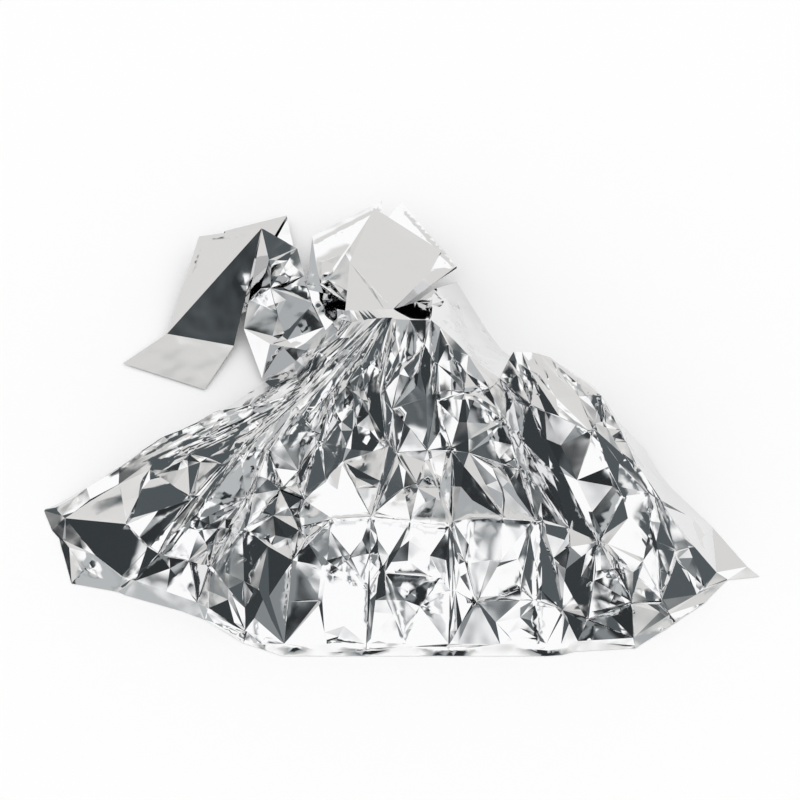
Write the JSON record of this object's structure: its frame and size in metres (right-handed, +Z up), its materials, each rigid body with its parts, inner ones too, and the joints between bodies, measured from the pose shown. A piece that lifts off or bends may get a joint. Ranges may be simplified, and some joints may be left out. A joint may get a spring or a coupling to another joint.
{
  "type": "emergency foil blanket",
  "caption": "Thin mirror-bright film blanket laid down half unfolded: a creased fan of panels rising to a gather, the rest still pleated as a ribbon of flaps behind it.",
  "frame": {"origin": "middle of the outline, on the surface that the blanket lies on", "axes": "+Z up, +X to the right along the front hem, +Y back from the hem towards the gather and the pleats"},
  "size_m": [0.7024, 0.585, 0.1135],
  "materials": {
    "metallised_film": "mirror-bright vacuum-metallised polyester film, creased"
  },
  "bodies": {
    "root": {"foil_blanket": "metallised_film"}
  },
  "joints": []
}
